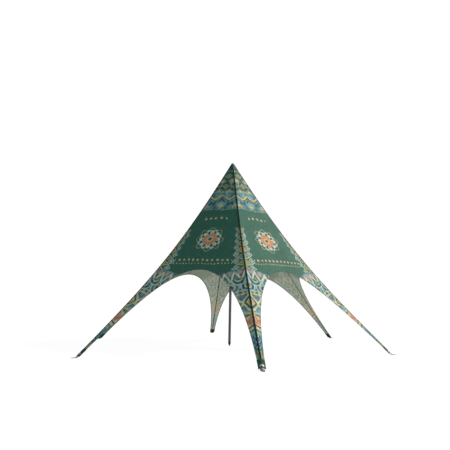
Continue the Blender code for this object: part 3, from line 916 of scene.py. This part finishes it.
def ridgeStraps():
    end = tent["legRadius"] - boots["length"] - 0.0005
    radii = straps["start"] + (end - straps["start"]) * np.linspace(0, 1, straps["stations"]) ** 1.25
    band = ridgeBand(radii, straps)
    lift = straps["lift"] + straps["thickness"] + sewing["thickness"] * 0.2
    flat = 0 * radii[2:]
    rows = [onRidge(radii[2:], side * straps["stitchAt"] + flat, lift, straps["bend"]) for side in (-1, 1)]
    tape = ridgeBand(np.linspace(*seamTapes["span"], seamTapes["stations"]), seamTapes, columns=2)
    for leg, turn in legTurns:
        addSolid(f"ridge_strap_{leg}", [strapWebbing], 45, band, turn, [f"ridge_webbing_{leg}"])
        stitches(f"ridge_stitches_{leg}", rows, turn)
        addSolid(f"ridge_seam_tape_{leg}", [seamTape], 45, tape, turn)
    print("ridge straps")


# Hems: the edge of a panel turned over a cord, with a tape inside

hem = {
    "width": 0.025,
    "cord": 0.0052,  # radius over the cord and the cloth round it
    "cordIn": 0.0040,  # from the edge to the middle of the cord
    "foldPoints": 11,  # round the cord
    "tape": 0.0020,
    "tapeFrom": 0.011,
    "stations": 150,
    "stitchAt": (0.0115, 0.0215),
}


def unit(vectors):
    return vectors / np.linalg.norm(vectors, axis=1)[:, None]


def hemFrame(shares):
    # The arch's edge, and the ways in from it and out of the cloth
    x, y = archPoint(shares)
    edge = onPanel(x, y)
    outward = unit(np.stack([-fallAt(x), 0 * x, 1 + 0 * x], 1))
    return edge, unit(np.cross(outward, unit(np.gradient(edge, axis=0)))), outward


def hemProfile():
    # Distances in from the edge and out of the cloth, round one section of a hem
    turns = np.radians(np.linspace(50, 310, hem["foldPoints"]))
    middle = -cloth["thickness"] / 2
    ring = [(hem["cordIn"] + hem["cord"] * cos(a), middle + hem["cord"] * sin(a)) for a in turns]
    top = -cloth["thickness"] - 0.0002
    under = top - hem["tape"]
    start, end = hem["tapeFrom"], hem["width"]
    tape = [(start, under - 0.0006), (end - 0.005, under), (end, under), (end, top), (start, top)]
    return np.array(ring + tape)


def archHems():
    shares = np.linspace(-1, 1, hem["stations"])
    edge, inward, outward = hemFrame(shares)
    profile = hemProfile()
    around = runLength(profile)
    points = edge[:, None] + profile[:, :1] * inward[:, None] + profile[:, 1:] * outward[:, None]
    band = [(a, length) for length in runLength(edge) for a in around]
    fromMiddle, fromRidge = unrolled(points[..., 0], points[..., 1])
    cuts = {"bandCut": band, "panelCut": fromMiddle, "ridgeCut": fromRidge}
    cuts["archCut"] = np.array(band)[:, ::-1]
    faces = tubeFaces(len(shares), len(profile))
    slots = [int(face[0] % len(profile) >= hem["foldPoints"] - 1) for face in faces[:-2]] + [1, 1]
    shape = (points.reshape(-1, 3), faces, cuts, slots)
    inside = -cloth["thickness"] - hem["tape"] - 0.0005
    rows = [edge + a * inward + 0.0004 * outward for a in hem["stitchAt"]]
    rows.append(edge + hem["stitchAt"][1] * inward + inside * outward)
    rows = [row[2:-2] for row in rows]
    for panel, turn in panelTurns:
        name = f"arch_hem_fold_{panel}"
        addSolid(name, [clothFront, hemTape], 50, shape, turn, [f"arch_hem_{panel}"])
        stitches(f"hem_stitches_{panel}", rows, turn)
    print("arch hems")


middleSeam = {
    "start": 0.19,
    "halfWidth": 0.011,
    "lift": -0.0018,
    "thickness": 0.0010,
    "stitchAt": 0.007,
    "stations": 60,
}


def midSeams():
    # A flat seam down the middle of each panel: a tape inside and two rows of stitches outside
    end = tent["archRadius"] - hem["width"] - 0.004
    x = np.linspace(middleSeam["start"], end, middleSeam["stations"])
    half, top = middleSeam["halfWidth"], middleSeam["lift"]
    under = top - middleSeam["thickness"]
    corners = [(-half, top), (half, top), (half, under), (-half, under)]
    points = np.stack([onPanel(x, np.full_like(x, y), lift) for y, lift in corners], 1).reshape(-1, 3)
    cuts = [(corner[0], float(a)) for a in downAt(x) for corner in corners]
    tape = (points, tubeFaces(len(x), 4), {"bandCut": cuts})
    rows = [onPanel(x, 0 * x + side * middleSeam["stitchAt"], 0.0004) for side in (-1, 1)]
    for panel, turn in panelTurns:
        addSolid(f"middle_seam_tape_{panel}", [hemTape], 45, tape, turn)
        stitches(f"middle_stitches_{panel}", rows, turn)
    print("middle seams")


# Ends of the legs


def bootPath(half):
    # Places across a leg and above its cloth, from under one edge round to under the other
    cord = half - hem["cordIn"]
    middle = -cloth["thickness"] / 2
    bow = boots["overCord"]
    lift = boots["lift"]
    right = [(0.0, lift), (cord * 0.3, lift), (cord * 0.62, lift), (cord - 0.017, lift + 0.0004)]
    right.append((cord - 0.009, lift + 0.0028))
    bends = np.radians(range(100, -81, -30))
    right += [(cord + bow * cos(turn), middle + bow * sin(turn)) for turn in bends]
    right += [(cord - 0.008, middle - bow), (cord - boots["under"], middle - bow + 0.0010)]
    return np.array([(-side, up) for side, up in right[:0:-1]] + right)


def legBoots():
    end = tent["legRadius"] + 0.003
    radii = np.linspace(tent["legRadius"] - boots["length"], end, boots["stations"])
    points, cuts = [], []
    for radius in radii:
        path = bootPath(float(legHalfWidth(min(radius, tent["legRadius"] - 0.001))))
        points.append(onRidge(radius, path[:, 0], path[:, 1], boots["bend"]))
        around = runLength(path)
        cuts += [(a - around[-1] / 2, float(ridgeAt(radius * cosHalf))) for a in around]
    faces = gridFaces(len(radii), len(path))
    seamRows = []
    for radius in (radii[0] + 0.008, radii[0] + 0.020):
        sides = np.linspace(-1, 1, 24) * (legHalfWidth(radius) - 0.024)
        seamRows.append(onRidge(radius, sides, boots["lift"] + boots["thickness"] + 0.0003, boots["bend"]))
    for leg, turn in legTurns:
        before = (leg - 2) % tent["legs"] + 1
        mesh = newMesh("boot", [bootCloth], np.concatenate(points), faces, {"bandCut": cuts})
        sharpBorder(mesh)
        mesh.transform(turn)
        boot = addPiece(f"leg_boot_cloth_{leg}", mesh, [f"leg_boot_{leg}"])
        thicken(boot, boots["thickness"], 1)
        sewnOn = [stitches(f"boot_stitches_{leg}", seamRows, turn)]


clamp = {
    "length": 0.034,
    "halfWidth": 0.052,
    "inset": 0.014,
    "lift": 0.0031,
    "thickness": 0.005,
    "bend": 0.006,
    "boltAt": 0.031,  # from the fold
    "boltRadius": 0.0085,
    "boltHeight": 0.0065,
}


def turnedShape(profile, steps=64):
    # Points and faces of a body turned about Z, from radius and height points
    angles = np.linspace(0, 2 * pi, steps, endpoint=False)
    rings = [(r * cos(a), r * sin(a), z) for r, z in profile for a in angles]
    return rings, gridFaces(len(profile), steps, closed=True, flipped=True)


def bolts():
    # Washers and domed heads, one above the other, on both sides of the fold
    r, h = clamp["boltRadius"], clamp["boltHeight"]
    profile = [
        (0, 0), (r * 1.5, 0), (r * 1.5, h * 0.22), (r * 1.42, h * 0.30), (r, h * 0.30),
        (r, h * 0.55), (r * 0.9, h * 0.78), (r * 0.6, h * 0.95), (0, h),
    ]
    points, faces = turnedShape(profile, 20)
    radius = tent["legRadius"] - clamp["inset"] - clamp["length"] / 2
    allPoints, allFaces = [], []
    for side in (-1, 1):
        at = side * clamp["boltAt"]
        seat = onRidge(radius, at, clamp["lift"] + clamp["thickness"], clamp["bend"])
        flat, further = onRidge(radius, at), onRidge(radius + 0.01, at)
        beside = onRidge(radius, at + side * 0.01)
        up = Vector(np.cross(further - flat, beside - flat) * side).normalized()
        placed = Matrix.Translation(seat) @ up.to_track_quat("Z", "X").to_matrix().to_4x4()
        allFaces += [tuple(len(allPoints) + i for i in face) for face in faces]
        allPoints += [tuple(placed @ Vector(p)) for p in points]
    return allPoints, allFaces


def footClamps():
    end = tent["legRadius"] - clamp["inset"]
    radii = np.linspace(end - clamp["length"], end, 4)
    band = ridgeBand(radii, clamp)
    heads = bolts()
    for leg, turn in legTurns:
        name = f"foot_clamp_strip_{leg}"
        easeEdges(addSolid(name, [clampSteel], 40, band[:2], turn, [f"foot_clamp_{leg}"]), 0.0012)
        addSolid(f"clamp_bolts_{leg}", [boltSteel], 40, heads, turn)
    print("foot clamps")


def footPlates():
    # The CAD's bent plates with their doubles merged and their edges eased
    for leg in range(1, tent["legs"] + 1):
        node = f"foot_plate_{leg}"
        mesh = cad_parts[node].data.copy()
        mesh.materials.clear()
        mesh.materials.append(plateSteel)
        closeUp(mesh, 40, dist=1e-5, flat=1)
        easeEdges(addPiece(f"foot_plate_steel_{leg}", mesh, [node]), 0.0010)
    print("foot plates")


# Crown cap

cap = {
    "radius": 0.200,
    "thickness": 0.0022,
    "rings": 26,
    "steps": 72,
    "lift": 0.0034,
    "flareFrom": 0.86,  # share of the radius where it starts to stand off
    "flare": 0.003,  # how far it would stand off a whole radius further out
    "stitchAt": (0.93, 0.965),
    "flat": (0.76, 0.42),  # cut size
}


def domeRise(rim, slope, reach):
    # Height above its rim of a ball that leaves the rim at a slope
    ball = rim * sqrt(1 + 1 / slope**2)
    return sqrt(ball**2 - reach**2) - sqrt(ball**2 - rim**2)


def capPoint(radius, angle, layer):
    # Round at the top and six-sided where it lies on the panels
    across = radius * cosHalf
    rim = tent["topRadius"] * cosHalf
    share = min(1.0, radius / tent["topRadius"])
    slope = (sheetHeight(rim) - sheetHeight(rim + 0.05)) / 0.05
    height = sheetHeight(max(rim, across))
    if radius < tent["topRadius"]:
        height += domeRise(rim, slope, across)
    folded = across / cos(angle % (2 * halfAngle) - halfAngle)
    reach = folded * share + across * (1 - share)
    return reach * cos(angle), reach * sin(angle), float(height) + layer * sqrt(1 + (slope * share) ** 2)


def crownCap():
    radii = cap["radius"] * np.linspace(0.04, 1, cap["rings"])
    angles = [2 * pi * step / cap["steps"] for step in range(cap["steps"])]
    points, cuts = [], []
    for radius in radii:
        lift = cap["lift"] + cap["flare"] * max(0.0, radius / cap["radius"] - cap["flareFrom"])
        points += [capPoint(radius, a, lift) for a in angles]
        cuts += [(radius * a, 2.1 * radius) for a in angles]
    faces = gridFaces(cap["rings"], cap["steps"], closed=True) + [list(range(cap["steps"]))]
    turn = Matrix.Rotation(front, 4, "Z")
    mesh = newMesh("cap", [capDye], points, faces, {"bandCut": cuts})
    sharpBorder(mesh)
    mesh.transform(turn)
    piece = addPiece("crown_cap_cloth", mesh, ["crown_cap"])
    thicken(piece, cap["thickness"], -1)
    rows, angles = [], np.linspace(0, 2 * pi, 145)
    for share in cap["stitchAt"]:
        rows.append(np.array([capPoint(cap["radius"] * share, a, cap["lift"] + 0.0018) for a in angles]))
    sewnOn = [stitches("cap_stitches", rows, turn)]


# Pole

pole = {
    "radius": 0.042,
    "upperRadius": 0.037,
    "wall": 0.0035,
    "lowerTop": 3.080,
    "lap": 0.350,
    "spigot": 0.110,  # how far the ferrule and the head go into the tubes
    "edge": 0.0012,
    "play": 0.0005,  # between parts that fit into each other
    "pinRadius": 0.006,
    "pinLength": 0.124,
    "pinHeight": 3.040,
}
collar = {"radius": 0.050, "height": 0.110, "lip": 0.030, "bead": 0.018, "groove": 0.0012}
ribs = {"count": 30, "height": 0.056, "halfWidth": 0.0016, "depth": 0.0014, "root": 0.001, "end": 0.003}
ferrule = {"height": 0.150, "taper": 0.085, "tip": 0.014, "bead": 0.018, "groove": 0.0016}
head = {"radius": 0.150, "hub": 0.052, "below": 0.014, "rim": 0.022, "domeSteps": 8}


def tube(inner, outer, low, high):
    # Section of a tube with eased lips, closed
    e = pole["edge"]
    return [
        (inner, low + e), (inner + e, low), (outer - e, low), (outer, low + e),
        (outer, high - e), (outer - e, high), (inner + e, high), (inner, high - e), (inner, low + e),
    ]


def ribTree():
    inputs = {"Rib": "Geometry", "Count": "Int", "Radius": "Float", "Finish": "Material"}
    nodes, given = startTree("gripRibs", inputs, "Ribs")
    ring = nodes.out("GeometryNodeMeshCircle", {}, {"Vertices": given["Count"], "Radius": given["Radius"]})
    return endTree(nodes, given["Finish"], ring, given["Rib"], nodes.out("GeometryNodeInputPosition"))


def gripRibs(height):
    # One rib is a short bar with eased ends
    half, tall, out, root = ribs["halfWidth"], ribs["height"] / 2, ribs["depth"], -ribs["root"]
    points = []
    for z, size in ((-tall, 0.3), (ribs["end"] - tall, 1.0), (tall - ribs["end"], 1.0), (tall, 0.3)):
        low, high = out * size * 0.6, out * size
        for x, y in ((root, -half), (low, -half), (high, 0), (low, half), (root, half)):
            points.append((x, y * size, z))
    rib = closeUp(newMesh("rib", [blackPlastic], points, tubeFaces(4, 5)), 50)
    values = {"Count": ribs["count"], "Radius": collar["radius"], "Finish": blackPlastic}
    mesh = treeMesh("ribs", rib, ribTree(), values)
    mesh.transform(Matrix.Translation((0, 0, height)))
    addPiece("collar_grip_ribs", mesh)


def collarSection(low, top):
    radius, upper, outer, play = pole["radius"], pole["upperRadius"], collar["radius"], pole["play"]
    bead, waist, step = collar["bead"], outer - collar["groove"], pole["lowerTop"] + play + 0.0001
    return [
        (radius + play, low), (outer - 0.003, low), (outer, low + 0.004), (outer, low + bead),
        (waist, low + bead + 0.002), (waist, top - bead - 0.002), (outer, top - bead), (outer, top - 0.006),
        (outer - 0.004, top - 0.001), (upper + 0.003, top), (upper + play + 0.0001, top - 0.002),
        (upper + play + 0.0001, step), (radius + play, step), (radius + play, low),
    ]


def pinSection():
    r, half = pole["pinRadius"], pole["pinLength"] / 2
    return [
        (0, -half), (r * 0.7, -half), (r, -half + 0.002), (r, half - 0.006), (r * 1.5, half - 0.006),
        (r * 1.6, half - 0.004), (r * 1.6, half - 0.001), (r * 1.4, half), (0, half),
    ]


def ferruleSection():
    radius, upper, e = pole["radius"], pole["upperRadius"], pole["edge"]
    tip, taper, high = ferrule["tip"], ferrule["taper"], ferrule["height"]
    waist, bead, end = radius - ferrule["groove"], high - ferrule["bead"], high + pole["spigot"]
    return [
        (0, 0), (tip - 0.003, 0), (tip, 0.003), (tip + 0.002, 0.014), (radius - 0.001, taper - 0.004),
        (radius, taper), (radius, bead - 0.008), (waist, bead - 0.006), (waist, bead - 0.002),
        (radius, bead), (radius, high - e), (radius - e, high), (upper, high), (upper, end), (0, end),
    ]


def headSection(hubEnd):
    # A dome under the cap, a skirt that slopes as the cloth does, and a hub that goes into the upper pole
    rim, skirt, hub = tent["topRadius"] * cosHalf, head["radius"], head["hub"]
    top = float(sheetHeight(rim)) - head["below"]
    slope = float(sheetHeight(rim + 0.08) - sheetHeight(rim)) / 0.08
    edge = top + slope * (skirt - rim)
    dome = [rim * i / head["domeSteps"] for i in range(head["domeSteps"])]
    low, bore = edge - head["rim"], pole["upperRadius"] - pole["wall"] - pole["play"]
    seat, end = hubEnd + pole["play"], hubEnd - pole["spigot"]
    return [
        *((reach, top + domeRise(rim, slope, reach)) for reach in dome),
        (rim, top), (skirt - 0.003, edge), (skirt, edge - 0.004), (skirt, low + 0.002), (skirt - 0.004, low),
        (hub + 0.006, low - 0.024), (hub, low - 0.030), (hub, hubEnd + 0.003), (hub - 0.003, seat),
        (bore, seat), (bore, end), (0, end),
    ]


def poleParts():
    coated, moulded = (poleCoating, "pole_coating"), (blackPlastic, "black_plastic")

    def turned(name, replaced, section, look):
        addSolid(name, [look[0]], 50, turnedShape(section), None, [replaced])

    radius, inner, lap = pole["radius"], pole["upperRadius"], pole["lowerTop"] - pole["lap"]
    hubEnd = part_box("pole_upper")[1].z
    ferruleEnd = ferrule["height"] + pole["play"] - 0.0001
    lower = tube(inner + pole["play"], radius, ferruleEnd, pole["lowerTop"])
    upper = tube(inner - pole["wall"], inner, lap, hubEnd)
    turned("pole_lower_tube", "pole_lower", lower, coated)
    turned("pole_upper_tube", "pole_upper", upper, coated)
    top = pole["lowerTop"] + collar["lip"]
    turned("pole_collar_sleeve", "pole_collar", collarSection(top - collar["height"], top), moulded)
    gripRibs(top - collar["height"] / 2)
    pinTurn = Matrix.Translation((0, 0, pole["pinHeight"])) @ Matrix.Rotation(pi / 2, 4, "X")
    addSolid("pole_lock_pin", [boltSteel], 50, turnedShape(pinSection(), 24), pinTurn, ["pole_pin"])
    turned("pole_ferrule_foot", "pole_ferrule", ferruleSection(), moulded)
    turned("pole_head_cup", "pole_head", headSection(hubEnd), moulded)
    print("pole")


ridgeStraps()
archHems()
midSeams()
legBoots()
footClamps()
footPlates()
crownCap()
poleParts()


# Floor, light and camera

studio = {
    "keyEnergy": 4.4,
    "keyColour": (1.0, 0.86, 0.77),
    "keyFrom": (-10, 34),  # degrees anticlockwise from +X, and above the ground
    "keySize": 14,
    "fill": 0.32,
    "fillColour": (0.78, 0.97, 0.94),
    "backdrop": 1.02,
    "floorGlow": 0.955,
    "floorBounce": 0.75,
    "floorGrey": (0.085, 0.10),
    "floorSide": 400,
}


def forCamera(nodes, others, seen):
    # One shader for the rays that come from the camera and another for all others
    ray = nodes.out("ShaderNodeLightPath")
    return nodes.out("ShaderNodeMixShader", {}, {0: ray, 1: others, 2: seen})


def makeStudio():
    scene = bpy.context.scene
    scene.view_settings.view_transform = "Standard"
    world = scene.world = bpy.data.worlds.new("studio")
    world.use_nodes = True
    world.node_tree.nodes.clear()
    nodes = Nodes(world.node_tree)
    white = (1.0, 1.0, 1.0)
    light = nodes.out("ShaderNodeBackground", {}, {"Color": studio["fillColour"], "Strength": studio["fill"]})
    seen = nodes.out("ShaderNodeBackground", {}, {"Color": white, "Strength": studio["backdrop"]})
    nodes.node("ShaderNodeOutputWorld", {}, {"Surface": forCamera(nodes, light, seen)})

    key = bpy.data.lights.new("key", "SUN")
    give(key, energy=studio["keyEnergy"], color=studio["keyColour"], angle=radians(studio["keySize"]))
    lamp = link(bpy.data.objects.new("key", key))
    azimuth, elevation = (radians(a) for a in studio["keyFrom"])
    towards = Vector((cos(azimuth) * cos(elevation), sin(azimuth) * cos(elevation), sin(elevation)))
    lamp.rotation_euler = towards.to_track_quat("Z", "Y").to_euler()

    # The floor is pale enough to run into the backdrop, and still takes a faint shadow
    paint = Paint("floor")
    pale = paint.mix(paint.noise(0.6), *((grey,) * 3 for grey in studio["floorGrey"]))
    matt = paint.out("ShaderNodeBsdfDiffuse", {}, {"Color": pale})
    glow = paint.out("ShaderNodeEmission", {}, {"Color": white, "Strength": studio["floorGlow"]})
    looked = paint.out("ShaderNodeAddShader", {}, {0: matt, 1: glow})
    bounce = paint.out("ShaderNodeBsdfDiffuse", {}, {"Color": (studio["floorBounce"],) * 3})
    paint.node("ShaderNodeOutputMaterial", {}, {"Surface": forCamera(paint, bounce, looked)})
    side, low = studio["floorSide"], -0.0004
    corners = [(-side, -side, low), (side, -side, low), (side, side, low), (-side, side, low)]
    mesh = newMesh("floor", [paint.material], corners, [(0, 1, 2, 3)])
    link(bpy.data.objects.new("floor", mesh))


view = {
    "place": (-2.367, -15.710, 1.706),
    "heading": -0.1793,
    "pitch": 0.1384,
    "roll": 0.0136,
    "lens": 38.70,
    "shiftX": -0.0462,
}


def makeCamera():
    data = bpy.data.cameras.new("camera")
    give(data, lens=view["lens"], sensor_width=36, shift_x=view["shiftX"], clip_end=2000)
    camera = link(bpy.data.objects.new("camera", data))
    turn = Matrix.Rotation(view["heading"], 4, "Z") @ Matrix.Rotation(pi / 2 + view["pitch"], 4, "X")
    camera.matrix_world = Matrix.Translation(view["place"]) @ turn @ Matrix.Rotation(view["roll"], 4, "Z")
    bpy.context.scene.camera = camera


makeStudio()
makeCamera()
print("studio ready")
